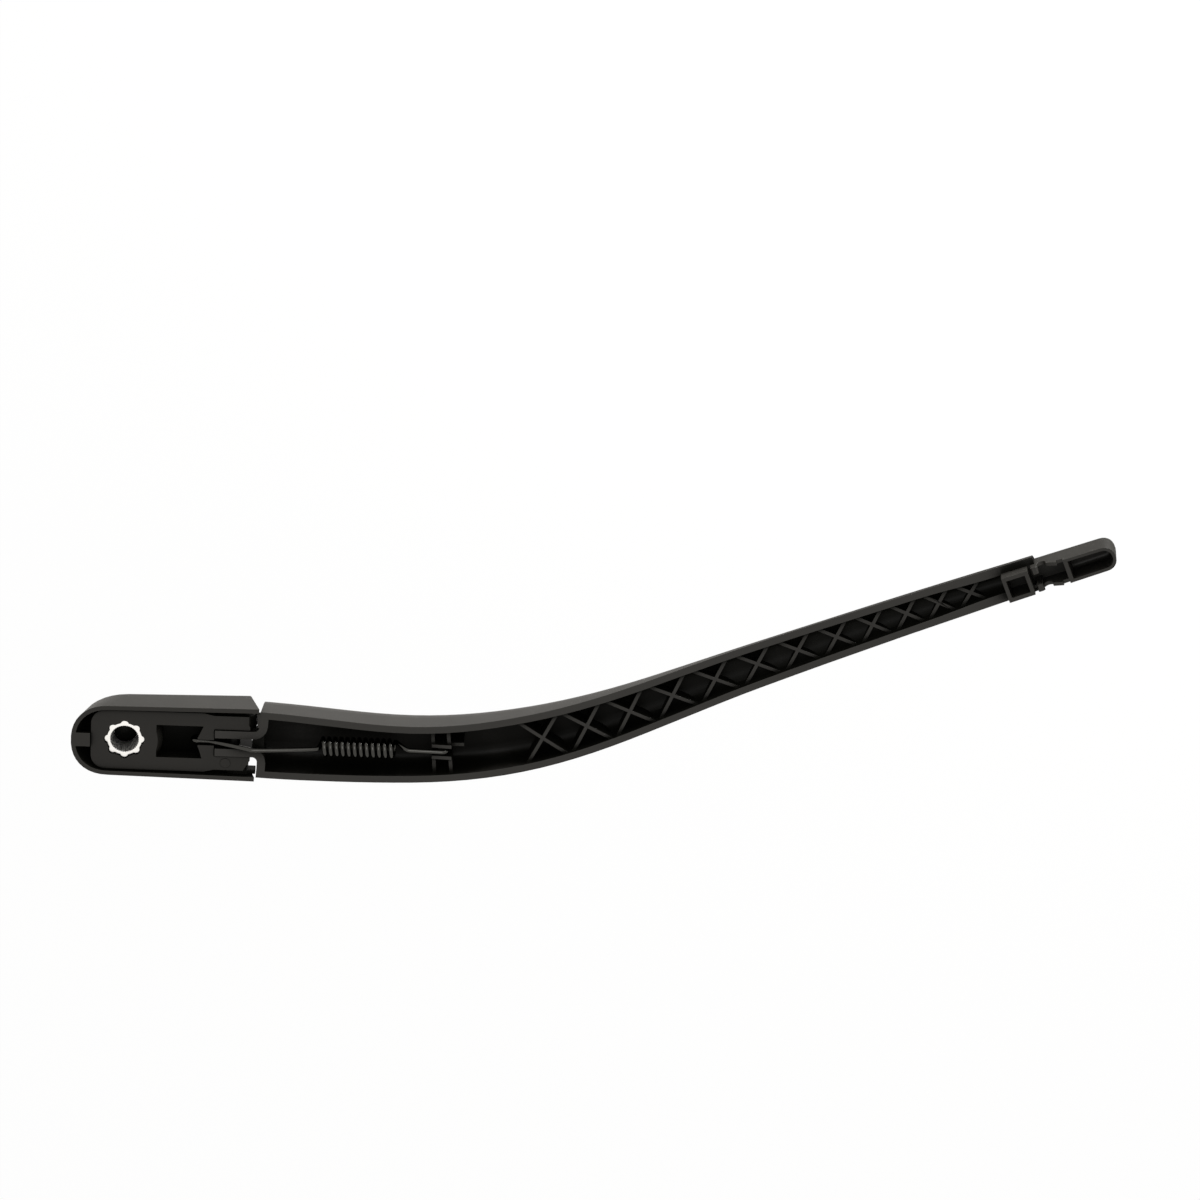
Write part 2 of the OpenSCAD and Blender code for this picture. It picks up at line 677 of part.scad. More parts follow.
module seat_cut() {
    lug_x = box_len + lug_slot;
    lug_top = tip_rim_z - lug_drop;
    gap_x = seat_end - hood_gap;
    above = tip_rim_z + 5;
    slot_z = tip_rim_z - slot_drop;
    lip_x = blade_x + blade_r - 0.2;
    rotate([90, 0, 0]) linear_extrude(40, center = true)
        polygon([[box_len, above], [box_len, slot_z], [lug_x, slot_z], [lug_x, lug_top - 0.4],
            [lug_x + 0.4, lug_top], [lug_x + lug_len - 0.4, lug_top], [blade_x - blade_r + snap, lug_top - 0.5],
            [blade_x - blade_r + snap, blade_z], [lip_x, blade_z], [lip_x, blade_z + 0.5],
            [gap_x, tip_rim_z], [gap_x, tip_rim_z - hood_gap_drop], [seat_end, tip_rim_z - hood_gap_drop],
            [seat_end, above]]);
    translate([blade_x, 0, blade_z]) along_y(blade_r, -20, 20);
}

module at_tip() {
    translate([track[arm_len].x, track[arm_len].y, 0]) rotate(heading(arm_len)) translate([0, tip_shift, 0])
        children();
}

module tip_body(top) {
    loft(tip_rings(0, 0, floor_z, tip_edge_r, top));
}

module blade_end() {
    inner = tip_w / 2 - tip_t;
    color(black) at_tip()
        difference() {
            tip_body(tip_rim_z);
            loft(tip_rings(seat_end + tip_t, hood_t, floor_z + 1.5, tip_edge_r - 1.2, tip_rim_z + 1));
            translate([wall_2_t, -inner, tip_floor_z])
                cube([box_len - 2 * wall_2_t, 2 * inner, 30]);
            difference() {
                translate([box_len, -inner, tip_floor_z]) cube([seat_len, 2 * inner, 30]);
                for (side = [-1, 1]) {
                    y0 = side > 0 ? tip_w / 2 - lug_w : -tip_w / 2;
                    translate([box_len + lug_slot, y0, floor_z]) cube([lug_len, lug_w, tip_d - lug_drop]);
                }
            }
            seat_cut();
        }
}

module arm() {
    color(black) difference() {
        union() {
            channel();
            crossed_ribs();
            hinge_end();
            cradle();
        }
        translate([pivot_x, 0, pivot_z]) along_y(pin_hole_r, -20, 20);
        at_tip() tip_body(tip_rim_z + 1);
    }
}

// Tension spring: one wire from the nose of the head to the anchor bar in the arm
function join(p0, d0, p1, d1, n) = [for (k = [1 : n - 1])
    let(t = k / n)
    (2 * t * t * t - 3 * t * t + 1) * p0 + (t * t * t - 2 * t * t + t) * d0
    + (3 * t * t - 2 * t * t * t) * p1 + (t * t * t - t * t) * d1];
function coil_point(t) =
    [coil_x + coil_pitch * t / 360, coil_y - coil_r * sin(t), coil_z + coil_r * cos(t)];

function spring_path() =
    let(
        nose_top = [nose_x, 0, hook_z + hook_r],
        lift = [lift_x, lift_y, pivot_z + lift_z],
        near_coil = [coil_x - 3, coil_y - 0.2, coil_z + 2],
        coil_a = -120,
        coil_b = coil_turns * 360 - 150,
        way = coil_r * PI / 180 * 90,
        first = coil_point(coil_a),
        last = coil_point(coil_b),
        lead = [coil_end_x + 4.2, coil_y + 0.4, coil_z + 1.7],
        over = [anchor_x, cradle_y, wire_end_z]
    )
    concat(
        [[nose_x + 3, 0, hook_z - hook_r]],
        [for (a = [-90 : -20 : -270]) [nose_x + hook_r * cos(a), 0, hook_z + hook_r * sin(a)]],
        [[fork_x - 2, 0, hook_z + hook_r]],
        join([fork_x - 2, 0, hook_z + hook_r], [4, 0, 0], lift, [5, -0.6, 2], 5),
        [lift, near_coil],
        join(near_coil, [4, -0.2, -0.6], first, way * [0, -cos(coil_a), -sin(coil_a)], 8),
        [for (t = [coil_a : 24 : coil_b]) coil_point(t)],
        join(last, way * [0, -cos(coil_b), -sin(coil_b)], lead, [5, -0.5, 0], 8),
        [lead],
        [for (a = [90 : -20 : -90]) over + [anchor_hook_r * cos(a), 0, anchor_hook_r * (sin(a) - 1)]],
        [over + [-2, 0, -2 * anchor_hook_r]]
    );

module wire(path, r) {
    last = len(path) - 1;
    function unit(v) = v / norm(v);
    ways = [for (i = [0 : last]) unit(path[min(i + 1, last)] - path[max(i - 1, 0)])];
    sides = [for (i = 0, side = [0, 1, 0]; i <= last;
        i = i + 1, side = i <= last ? unit(side - (side * ways[i]) * ways[i]) : side) side];
    loft([for (i = [0 : last])
        let(a = sides[i], b = cross(ways[i], sides[i]))
        [for (k = [0 : 7]) path[i] + r * (cos(k * 45) * a + sin(k * 45) * b)]]);
}

module tension_spring() {
    color(steel) wire(spring_path(), wire_r);
}

mounting_head();
spindle_insert();
head_cover();
pivot_pin();
arm();
blade_end();
tension_spring();
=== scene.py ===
# %% [markdown]
# # Rear wiper arm, seen from its glass side
# The solids come from the construction file with every size settled. This lesson dresses them: it rounds
# the look of the moulded edges, gives each piece its own finish, winds the tension spring as a smooth
# wire and cuts the teeth of the spindle insert. The scene is in metres, in the frame of the solids. The
# sizes of the arm's own pieces are written in millimetres and multiplied by MM.

# %% Start
from math import asin, cos, pi, radians, sin

import bmesh
import bpy
from mathutils import Matrix, Vector


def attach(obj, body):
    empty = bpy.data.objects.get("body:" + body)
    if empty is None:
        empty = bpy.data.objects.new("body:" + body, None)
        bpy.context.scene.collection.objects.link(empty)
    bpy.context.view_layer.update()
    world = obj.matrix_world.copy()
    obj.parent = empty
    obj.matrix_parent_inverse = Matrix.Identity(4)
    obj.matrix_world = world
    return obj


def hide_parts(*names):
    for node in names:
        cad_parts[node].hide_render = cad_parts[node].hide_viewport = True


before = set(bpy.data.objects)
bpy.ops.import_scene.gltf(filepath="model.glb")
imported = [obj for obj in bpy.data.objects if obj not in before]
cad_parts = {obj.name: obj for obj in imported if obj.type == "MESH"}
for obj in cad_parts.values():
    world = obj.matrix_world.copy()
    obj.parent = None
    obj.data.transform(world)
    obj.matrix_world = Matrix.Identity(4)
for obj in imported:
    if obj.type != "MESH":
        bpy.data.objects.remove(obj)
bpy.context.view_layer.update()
MM = 0.001
print("solids:", sorted(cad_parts))

# %% [markdown]
# ## The camera
# The photograph looks down on the arm from 24 degrees off the spindle's axis, through a long lens, with
# the picture turned by 2 degrees. A camera could be turned by eye until the outlines agree. Here it stands
# at the end of a line that leaves the aimed point at that angle, so every direction has a name and is
# easy to change. The lens follows from how many millimetres one pixel of the picture covers.

# %% Camera
TILT = radians(24)
ROLL = radians(2)
DISTANCE = 4.0
AIM = Vector((0.16698, 0.05036, -0.01812))
SENSOR = 36.0
PICTURE_WIDTH = 1200
MM_IN_A_PIXEL = 0.355
SIGHT_WIDTH = PICTURE_WIDTH * MM_IN_A_PIXEL * MM

away = Vector((0, sin(TILT), cos(TILT)))
camera = bpy.data.objects.new("camera", bpy.data.cameras.new("camera"))
camera.data.sensor_width = SENSOR
camera.data.lens = SENSOR * DISTANCE / SIGHT_WIDTH
camera.data.clip_end = 3 * DISTANCE
camera.matrix_world = (
    Matrix.Translation(AIM + DISTANCE * away)
    @ Matrix.Rotation(-TILT, 4, "X")
    @ Matrix.Rotation(ROLL, 4, "Z")
)
bpy.context.scene.collection.objects.link(camera)
bpy.context.scene.camera = camera
bpy.context.scene.view_settings.view_transform = "Standard"
print("lens in mm:", round(camera.data.lens, 2))

# %% [markdown]
# ## Nodes by name
# Every material, and the room too, is a small tree of nodes. Trees can be wired socket by socket, but then
# the wiring hides the idea. These helpers add a node and fill its inputs by name in one line.

# %% Node helpers
MIX_SHARE, MIX_FIRST, MIX_SECOND, MIX_RESULT = 0, 6, 7, 2  # where a Mix node keeps its colour sockets


def new_tree(owner):
    """The empty node tree of a material or a world."""
    owner.use_nodes = True
    owner.node_tree.nodes.clear()
    return owner.node_tree


def fill(tree, socket, value):
    """Links another socket to this one, or sets it to a number or colour."""
    if isinstance(value, bpy.types.NodeSocket):
        tree.links.new(value, socket)
    else:
        socket.default_value = value


def add(tree, kind, **values):
    """A node of that kind. A value that is the name of an input goes there, any other is a setting."""
    node = tree.nodes.new(kind)
    for name, value in values.items():
        label = name.replace("_", " ")
        inputs = [s for s in node.inputs if s.name.lower() == label and s.enabled]
        if inputs:
            fill(tree, inputs[0], value)
        else:
            setattr(node, name, value)
    return node


def maths(tree, operation, a, b, clamp=False):
    """The result of a Math node on two sockets or numbers."""
    node = tree.nodes.new("ShaderNodeMath")
    node.operation = operation
    node.use_clamp = clamp
    fill(tree, node.inputs[0], a)
    fill(tree, node.inputs[1], b)
    return node.outputs[0]


def colour_mix(tree, share, first, second):
    """The first colour where the share is 0, the second where it is 1."""
    node = tree.nodes.new("ShaderNodeMix")
    node.data_type = "RGBA"
    fill(tree, node.inputs[MIX_SHARE], share)
    fill(tree, node.inputs[MIX_FIRST], first)
    fill(tree, node.inputs[MIX_SECOND], second)
    return node.outputs[MIX_RESULT]


# %% [markdown]
# ## The sky
# Black plastic shows its form by what it mirrors: the sky in its flat rims, the floor in its side walls.
# So the room is built by asking what each kind of ray meets. The camera meets plain white. A mirror meets
# a white that is a little warm. The light that falls on things is weaker, so that a colour comes out
# about as it is written. Light Path tells the rays apart, which a picture of a studio could not do.

# %% Sky
WHITE = (1, 1, 1, 1)
WARM = (1, 0.968, 0.925, 1)
ROOM_LIGHT = 0.6


def seen_directly(tree):
    """1 for what the camera, a mirror or a clear body sees, 0 for the light that falls on things."""
    path = add(tree, "ShaderNodeLightPath")
    seen = maths(tree, "ADD", path.outputs["Is Camera Ray"], path.outputs["Is Glossy Ray"])
    return maths(tree, "ADD", seen, path.outputs["Is Transmission Ray"], clamp=True)


world = bpy.data.worlds.new("room")
bpy.context.scene.world = world
tree = new_tree(world)
path = add(tree, "ShaderNodeLightPath")
strength = maths(tree, "MAXIMUM", seen_directly(tree), ROOM_LIGHT)
sky_colour = colour_mix(tree, path.outputs["Is Camera Ray"], WARM, WHITE)
sky = add(tree, "ShaderNodeBackground", color=sky_colour, strength=strength)
add(tree, "ShaderNodeOutputWorld", surface=sky.outputs[0])
print("light of the room:", ROOM_LIGHT)

# %% [markdown]
# ## The floor
# To the camera the floor is plain white, with a small share of real shading left in it for the shadow. In
# the photograph the arm's side walls darken towards the tip, as they do when the pale board that they
# mirror ends there. So in mirrors the floor fades from warm white to a dim grey along the arm. It lies well
# under the part, because the arm and the cover swing down when they open.

# %% Floor
DIM = (0.14, 0.135, 0.125, 1)
FADE_START = 140 * MM
FADE_END = 245 * MM
FLOOR_GREY = (0.93, 0.93, 0.93, 1)
FLOOR_SHADE = 0.06
FLOOR_Z = -0.27
FLOOR_HALF = 9.0


def link(name, bm, finish):
    """Keeps a bmesh as a new object with that finish."""
    mesh = bpy.data.meshes.new(name)
    bm.to_mesh(mesh)
    bm.free()
    mesh.materials.append(finish)
    piece = bpy.data.objects.new(name, mesh)
    bpy.context.scene.collection.objects.link(piece)
    return piece


floor_finish = bpy.data.materials.new("floor")
tree = new_tree(floor_finish)
across = tree.nodes.new("ShaderNodeSeparateXYZ")
tree.links.new(add(tree, "ShaderNodeTexCoord").outputs["Object"], across.inputs[0])
fade = add(tree, "ShaderNodeMapRange", value=across.outputs["X"], from_min=FADE_START, from_max=FADE_END)
mirrored = colour_mix(tree, fade.outputs[0], WARM, DIM)
path = add(tree, "ShaderNodeLightPath")
pale = colour_mix(tree, path.outputs["Is Camera Ray"], mirrored, WHITE)
plain = add(tree, "ShaderNodeEmission", color=pale, strength=1.0)
shaded = add(tree, "ShaderNodeBsdfDiffuse", color=FLOOR_GREY)
share = maths(tree, "MULTIPLY", seen_directly(tree), 1 - FLOOR_SHADE)
mixed = tree.nodes.new("ShaderNodeMixShader")
tree.links.new(share, mixed.inputs[0])
tree.links.new(shaded.outputs[0], mixed.inputs[1])
tree.links.new(plain.outputs[0], mixed.inputs[2])
add(tree, "ShaderNodeOutputMaterial", surface=mixed.outputs[0])

bm = bmesh.new()
bmesh.ops.create_grid(bm, x_segments=1, y_segments=1, size=FLOOR_HALF)
bmesh.ops.translate(bm, verts=bm.verts, vec=(0, 0, FLOOR_Z))
link("floor", bm, floor_finish)
print("floor at:", FLOOR_Z)

# %% [markdown]
# ## Lamps
# The room alone would light every side alike. Two round lamps give the light a direction and stay soft,
# because they are large for their distance: one above the arm, and one low beside the tip that runs
# along the walls. Point lamps would draw hard shadows that the photograph doesn't have.

# %% Lamps
LAMPS = [  # name, place, size, watts
    ("overhead", (0.15, 0.5, 1.3), 0.8, 4.0),
    ("side", (0.55, 0.6, -0.08), 0.4, 11.0),
]
for name, place, size, watts in LAMPS:
    lamp = bpy.data.objects.new(name, bpy.data.lights.new(name, "AREA"))
    lamp.data.shape = "DISK"
    lamp.data.size = size
    lamp.data.energy = watts
    lamp.location = place
    lamp.rotation_euler = (AIM - lamp.location).to_track_quat("-Z", "Y").to_euler()
    bpy.context.scene.collection.objects.link(lamp)
print("lamps:", [lamp[0] for lamp in LAMPS])

# %% [markdown]
# ## Shared effect: moulded grain
# Three effects come back in several finishes. Each is a node group, built once and placed in a material
# with its own values. The first is the surface of a moulding: a fine even grain from the spark-eroded
# mould, with broad soft patches where the flow of the melt changed its gloss. Two noise textures on Object
# coordinates do both, where a painted map would first need the piece unwrapped.

# %% Moulded grain
def new_group(name, inputs, outputs):
    """A shader group with named number inputs and outputs, returned with its two end nodes."""
    group = bpy.data.node_groups.new(name, "ShaderNodeTree")
    for label, default in inputs.items():
        socket = group.interface.new_socket(label, in_out="INPUT", socket_type="NodeSocketFloat")
        socket.default_value = default
    for label, kind in outputs.items():
        group.interface.new_socket(label, in_out="OUTPUT", socket_type=kind)
    return group, group.nodes.new("NodeGroupInput"), group.nodes.new("NodeGroupOutput")


grain_group, start, end = new_group(
    "moulded grain",
    {"Grain Scale": 4200.0, "Patch Scale": 60.0},
    {"Height": "NodeSocketFloat", "Patches": "NodeSocketFloat"},
)
place = add(grain_group, "ShaderNodeTexCoord").outputs["Object"]
fine = add(grain_group, "ShaderNodeTexNoise", vector=place, scale=start.outputs[0], detail=2.0)
broad = add(grain_group, "ShaderNodeTexNoise", vector=place, scale=start.outputs[1], detail=3.0)
grain_group.links.new(fine.outputs["Fac"], end.inputs[0])
grain_group.links.new(broad.outputs["Fac"], end.inputs[1])
print("effect:", grain_group.name)

# %% [markdown]
# ## Shared effect: rounded edges
# No real edge is sharp: it is rounded by a fifth of a millimetre, and handling rubs it a little brighter.
# Bevelling every edge of a ribbed moulding would cost many faces and break where ribs cross. The Bevel
# node rounds only the shading, and where its normal departs from the plain one lies the rubbed line.

# %% Rounded edges
EDGE_SAMPLES = 6

edge_group, start, end = new_group(
    "rounded edges",
    {"Radius": 0.2 * MM, "Gain": 6.0},
    {"Normal": "NodeSocketVector", "Rub": "NodeSocketFloat"},
)
rounded = add(edge_group, "ShaderNodeBevel", samples=EDGE_SAMPLES, radius=start.outputs[0])
plain_normal = add(edge_group, "ShaderNodeNewGeometry").outputs["Normal"]
dot = edge_group.nodes.new("ShaderNodeVectorMath")
dot.operation = "DOT_PRODUCT"
edge_group.links.new(rounded.outputs[0], dot.inputs[0])
edge_group.links.new(plain_normal, dot.inputs[1])
turned = maths(edge_group, "SUBTRACT", 1.0, dot.outputs["Value"])
rub = maths(edge_group, "MULTIPLY", turned, start.outputs[1], clamp=True)
edge_group.links.new(rounded.outputs[0], end.inputs[0])
edge_group.links.new(rub, end.inputs[1])
print("effect:", edge_group.name)

# %% [markdown]
# ## Shared effect: open to the light
# The deep hollows of the arm are nearly black in the photograph, because hardly any light finds its way in.
# The Ambient Occlusion node measures how open each spot is within a short reach. A smooth Map Range turns
# that into a mask, from closed to open, and every finish uses it in its own way to paint that shade into its
# colour and shine.

# %% Open to the light
OPEN_SAMPLES = 10

cavity_group, start, end = new_group(
    "open to the light",
    {"Reach": 14 * MM, "Closed": 0.7, "Open": 0.98},
    {"Mask": "NodeSocketFloat"},
)
open_share = add(cavity_group, "ShaderNodeAmbientOcclusion", samples=OPEN_SAMPLES, distance=start.outputs[0])
spread = cavity_group.nodes.new("ShaderNodeMapRange")
spread.interpolation_type = "SMOOTHSTEP"
cavity_group.links.new(open_share.outputs["AO"], spread.inputs["Value"])
cavity_group.links.new(start.outputs[1], spread.inputs["From Min"])
cavity_group.links.new(start.outputs[2], spread.inputs["From Max"])
cavity_group.links.new(spread.outputs[0], end.inputs[0])
print("effect:", cavity_group.name)

# %% [markdown]
# ## Black plastic
# The arm, its cover and the head are one black glass-filled plastic: nearly black, satin, a little warm.
# They come from different moulds, so each has its own tone and shine. Less shade is painted into the shallow
# hollows of the blade end than into the deep ones of the arm. One function makes all four, which keeps them a
# family. Its mask paints shade where a hollow is closed: it takes both colour and shine away there, since a
# dark colour alone would still mirror the sky.

# %% Black plastic
PLASTIC_TINT = (1, 0.95, 0.84)
RUBBED_GAIN = 2.2  # how much lighter a rubbed edge is
# Painted shade: the colour and the shine that closed hollows take.
PAINTED_SHADE_BLACK = (0.0026, 0.0026, 0.002, 1)
PAINTED_SHADE_SHINE = 0.06
SATIN = 0.42
SATIN_SPREAD = 0.06
PLASTIC_GRAIN = 4200.0
PLASTIC_PATCHES = 60.0
PLASTIC_EDGE = 0.22 * MM
EDGE_GAIN = 5.0
RELIEF = 0.25
RELIEF_HEIGHT = 0.02 * MM


def place_group(tree, group, **values):
    """The outputs of a group placed in a tree with its own values."""
    node = tree.nodes.new("ShaderNodeGroup")
    node.node_tree = group
    for name, value in values.items():
        node.inputs[name.replace("_", " ").title()].default_value = value
    return node.outputs


def ramp(tree, value, low, high):
    """The value from 0 to 1 spread from low to high."""
    node = tree.nodes.new("ShaderNodeMapRange")
    tree.links.new(value, node.inputs["Value"])
    node.inputs["To Min"].default_value = low
    node.inputs["To Max"].default_value = high
    return node.outputs[0]


def moulded_plastic(name, tone, shine, shut=0.72, clear=0.98):
    """Satin black plastic. Painted shade makes it darkest where openness is below shut, and is gone above
    clear.
    """
    finish = bpy.data.materials.new(name)
    tree = new_tree(finish)
    grain_out = place_group(tree, grain_group, grain_scale=PLASTIC_GRAIN, patch_scale=PLASTIC_PATCHES)
    edge_out = place_group(tree, edge_group, radius=PLASTIC_EDGE, gain=EDGE_GAIN)
    open_out = place_group(tree, cavity_group, closed=shut, open=clear)
    plain, rubbed = [(*(part * k * tone for part in PLASTIC_TINT), 1) for k in (1, RUBBED_GAIN)]
    open_colour = colour_mix(tree, edge_out["Rub"], plain, rubbed)
    # Painted shade: where the mask is closed, the colour goes to near-black.
    colour = colour_mix(tree, open_out["Mask"], PAINTED_SHADE_BLACK, open_colour)
    gloss = ramp(tree, grain_out["Patches"], SATIN - SATIN_SPREAD, SATIN + SATIN_SPREAD)
    relief = add(tree, "ShaderNodeBump", strength=RELIEF, distance=RELIEF_HEIGHT, height=grain_out["Height"])
    tree.links.new(edge_out["Normal"], relief.inputs["Normal"])
    skin = add(tree, "ShaderNodeBsdfPrincipled", base_color=colour, roughness=gloss)
    # Painted shade: in closed hollows the shine falls low, so they mirror no sky.
    tree.links.new(ramp(tree, open_out["Mask"], PAINTED_SHADE_SHINE, shine), skin.inputs["Specular IOR Level"])
    tree.links.new(relief.outputs[0], skin.inputs["Normal"])
    add(tree, "ShaderNodeOutputMaterial", surface=skin.outputs[0])
    return finish


# shut and clear set how much shade is painted into each moulding's hollows: more in the arm, less in the
# blade end.
arm_black = moulded_plastic("black plastic of the arm", tone=0.0165, shine=0.32, shut=0.76)
cover_black = moulded_plastic("black plastic of the cover", tone=0.0185, shine=0.23)
head_black = moulded_plastic("black plastic of the head", tone=0.0135, shine=0.22)
tip_black = moulded_plastic("black plastic of the blade end", tone=0.0165, shine=0.28, shut=-0.3, clear=0.75)
print("plastics:", [finish.name for finish in (arm_black, cover_black, head_black, tip_black)])

# %% [markdown]
# ## Metals
# The insert is bright die-cast metal, the pin is ground steel, and the spring is oiled wire whose highlights
# run along it. On metal the base colour is what it mirrors, so an oiled wire is simply a dark metal and needs
# no second layer. The edges are finer here than on plastic, and the hollows that get painted shade are
# smaller.

# %% Metals
METAL_PATCHES = 400.0
METAL_EDGE = 0.12 * MM
METAL_REACH = 8 * MM
METAL_GLOSS_SPREAD = 0.07
METAL_RELIEF_HEIGHT = 0.01 * MM


def metal(name, colour, rubbed, painted_shade, roughness, grain, relief, shut, clear):
    """A metal with rubbed edges, with shade painted into its hollows: its colour goes darker where little
    light gets in.
    """
    finish = bpy.data.materials.new(name)
    tree = new_tree(finish)
    grain_out = place_group(tree, grain_group, grain_scale=grain, patch_scale=METAL_PATCHES)
    edge_out = place_group(tree, edge_group, radius=METAL_EDGE, gain=EDGE_GAIN)
    open_out = place_group(tree, cavity_group, reach=METAL_REACH, closed=shut, open=clear)
    open_colour = colour_mix(tree, edge_out["Rub"], (*colour, 1), (*rubbed, 1))
    # Painted shade: where the mask is closed, the colour goes to the darker colour given for hollows.
    full_colour = colour_mix(tree, open_out["Mask"], (*painted_shade, 1), open_colour)
    gloss = ramp(
        tree, grain_out["Patches"], roughness - METAL_GLOSS_SPREAD, roughness + METAL_GLOSS_SPREAD
    )
    bump = add(
        tree, "ShaderNodeBump", strength=relief, distance=METAL_RELIEF_HEIGHT, height=grain_out["Height"]
    )
    tree.links.new(edge_out["Normal"], bump.inputs["Normal"])
    skin = add(tree, "ShaderNodeBsdfPrincipled", base_color=full_colour, roughness=gloss, metallic=1.0)
    tree.links.new(bump.outputs[0], skin.inputs["Normal"])
    add(tree, "ShaderNodeOutputMaterial", surface=skin.outputs[0])
    return finish


# The darker hollow colour given to each metal is painted shade, laid where little light gets in, as in the
# insert's bore.
cast_metal = metal(
    "cast metal", colour=(0.95, 0.95, 0.94), rubbed=(1, 1, 1), painted_shade=(0.12, 0.12, 0.115),
    roughness=0.34, grain=5000.0, relief=0.3, shut=0.12, clear=0.62,
)
ground_steel = metal(
    "ground steel", colour=(0.045, 0.045, 0.045), rubbed=(0.2, 0.2, 0.2), painted_shade=(0.02, 0.02, 0.02),
    roughness=0.35, grain=6000.0, relief=0.2, shut=0.45, clear=0.8,
)
spring_wire = metal(
    "spring wire", colour=(0.052, 0.052, 0.049), rubbed=(0.17, 0.17, 0.165), painted_shade=(0.012, 0.012, 0.01),
    roughness=0.17, grain=3000.0, relief=0.2, shut=0.4, clear=0.85,
)
print("metals:", [finish.name for finish in (cast_metal, ground_steel, spring_wire)])

# %% [markdown]
# ## Smooth skins over the solids
# The big moulded pieces come as loose triangles. Modelling them again would risk a wrong size, so a copy
# of each is merged into one surface, its flat fields are joined, and it is shaded smooth up to a limit
# angle. The Weighted Normal modifier lets the large flat faces rule, so that no shading runs across
# them. The pin is nearly hidden and keeps its own mesh.

# %% Skins
MERGE = 0.002 * MM
FLAT_ANGLE = radians(0.5)
SHARP_ANGLE = radians(32)


def skin_of(node, name, finish):
    """A merged and smoothly shaded copy of a solid, shown in its place."""
    bm = bmesh.new()
    bm.from_mesh(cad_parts[node].data)
    bmesh.ops.remove_doubles(bm, verts=bm.verts, dist=MERGE)
    bmesh.ops.dissolve_limit(bm, angle_limit=FLAT_ANGLE, verts=bm.verts, edges=bm.edges)
    for face in bm.faces:
        face.smooth = True
    for edge in bm.edges:
        edge.smooth = edge.is_manifold and edge.calc_face_angle() < SHARP_ANGLE
    print(name, "faces:", len(bm.faces), "open edges:", sum(not e.is_manifold for e in bm.edges))
    piece = link(name, bm, finish)
    weights = piece.modifiers.new("weights", "WEIGHTED_NORMAL")
    weights.keep_sharp = True
    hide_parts(node)
    return piece


head = skin_of("mounting_head", "head_skin", head_black)
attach(head, "head")
cover = skin_of("head_cover", "cover_skin", cover_black)
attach(cover, "cover")
arm = skin_of("arm", "arm_skin", arm_black)
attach(arm, "arm")
tip = skin_of("blade_end", "tip_skin", tip_black)
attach(tip, "arm")
insert = skin_of("spindle_insert", "insert_skin", cast_metal)
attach(insert, "head")
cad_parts["pivot_pin"].data.materials.clear()
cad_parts["pivot_pin"].data.materials.append(ground_steel)

# %% [markdown]
# ## Small forms at the hinge
# Five small forms fill in the hinge. A cheek rounds the end of the upper prong, a step lies on the cover's
# lower wall beside the other prong, and two bands close the arm's end towards the hinge. The round mark on
# the lower prong is where a pin pushed the moulding out of its tool. Each is a cut disc or a bevelled
# block. Boolean joins would weld them to the skins, but separate pieces sunk into a wall look the same and
# leave the skins whole.

# %% Prong cheek
PIVOT = Vector((38.7, 0, -1.0))  # the pin's middle, in millimetres like all sizes of these forms
CHEEK_R = 8.2
PRONG_Y = 7.875
PRONG_WIDTH = 5.2
CHEEK_START = 38.9
CHEEK_TOP = 5.18
ROUND_SEGMENTS = 64


def disc(name, centre, axis_turn, radius, thick, finish, body, cuts=()):
    """A round form about a turned axis. Each cut is a point, and the direction in which it stays whole."""
    bm = bmesh.new()
    bmesh.ops.create_cone(
        bm, cap_ends=True, segments=ROUND_SEGMENTS, radius1=radius * MM, radius2=radius * MM, depth=thick * MM
    )
    bmesh.ops.rotate(bm, cent=(0, 0, 0), matrix=Matrix.Rotation(axis_turn, 3, "X"), verts=bm.verts)
    bmesh.ops.translate(bm, vec=centre * MM, verts=bm.verts)
    for spot, way in cuts:
        everything = bm.verts[:] + bm.edges[:] + bm.faces[:]
        cut = bmesh.ops.bisect_plane(
            bm, geom=everything, plane_co=Vector(spot) * MM, plane_no=way, clear_inner=True
        )["geom_cut"]
        bmesh.ops.contextual_create(bm, geom=[g for g in cut if isinstance(g, bmesh.types.BMEdge)])
    bmesh.ops.recalc_face_normals(bm, faces=bm.faces)
    print(name, "faces:", len(bm.faces))
    piece = link(name, bm, finish)
    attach(piece, body)


cheek_cuts = [(PIVOT, (0, 0, 1)), ((CHEEK_START, 0, 0), (1, 0, 0)), ((0, 0, CHEEK_TOP), (0, 0, -1))]
cheek_middle = PIVOT + Vector((0, PRONG_Y, 0))
disc("prong_cheek", cheek_middle, pi / 2, CHEEK_R, PRONG_WIDTH, head_black, "head", cuts=cheek_cuts)

# %% Step and bands
BLOCK_BEVEL = 0.25
COVER_STEP = ((39.0, -12.6, -1.0), (46.6, -11.02, 3.2))
END_BAND_LOW = ((47.0, 4.9, 0.7), (49.6, 6.8, 4.3))
END_BAND_TOP = ((47.1, 6.4, 4.2), (49.0, 12.2, 5.57))


def block(name, corners, finish, body):
    """A box between two corners, with rounded edges, that rides on a body."""
    low, high = [Vector(corner) * MM for corner in corners]
    bm = bmesh.new()
    bmesh.ops.create_cube(bm, size=1)
    bmesh.ops.scale(bm, vec=high - low, verts=bm.verts)
    bmesh.ops.translate(bm, vec=(low + high) / 2, verts=bm.verts)
    bmesh.ops.bevel(
        bm, geom=bm.edges[:], offset=BLOCK_BEVEL * MM, segments=2, profile=0.5, affect="EDGES", material=-1
    )
    print(name, "faces:", len(bm.faces))
    piece = link(name, bm, finish)
    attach(piece, body)


block("cover_step", COVER_STEP, cover_black, "cover")
block("end_band_low", END_BAND_LOW, arm_black, "arm")
block("end_band_top", END_BAND_TOP, arm_black, "arm")

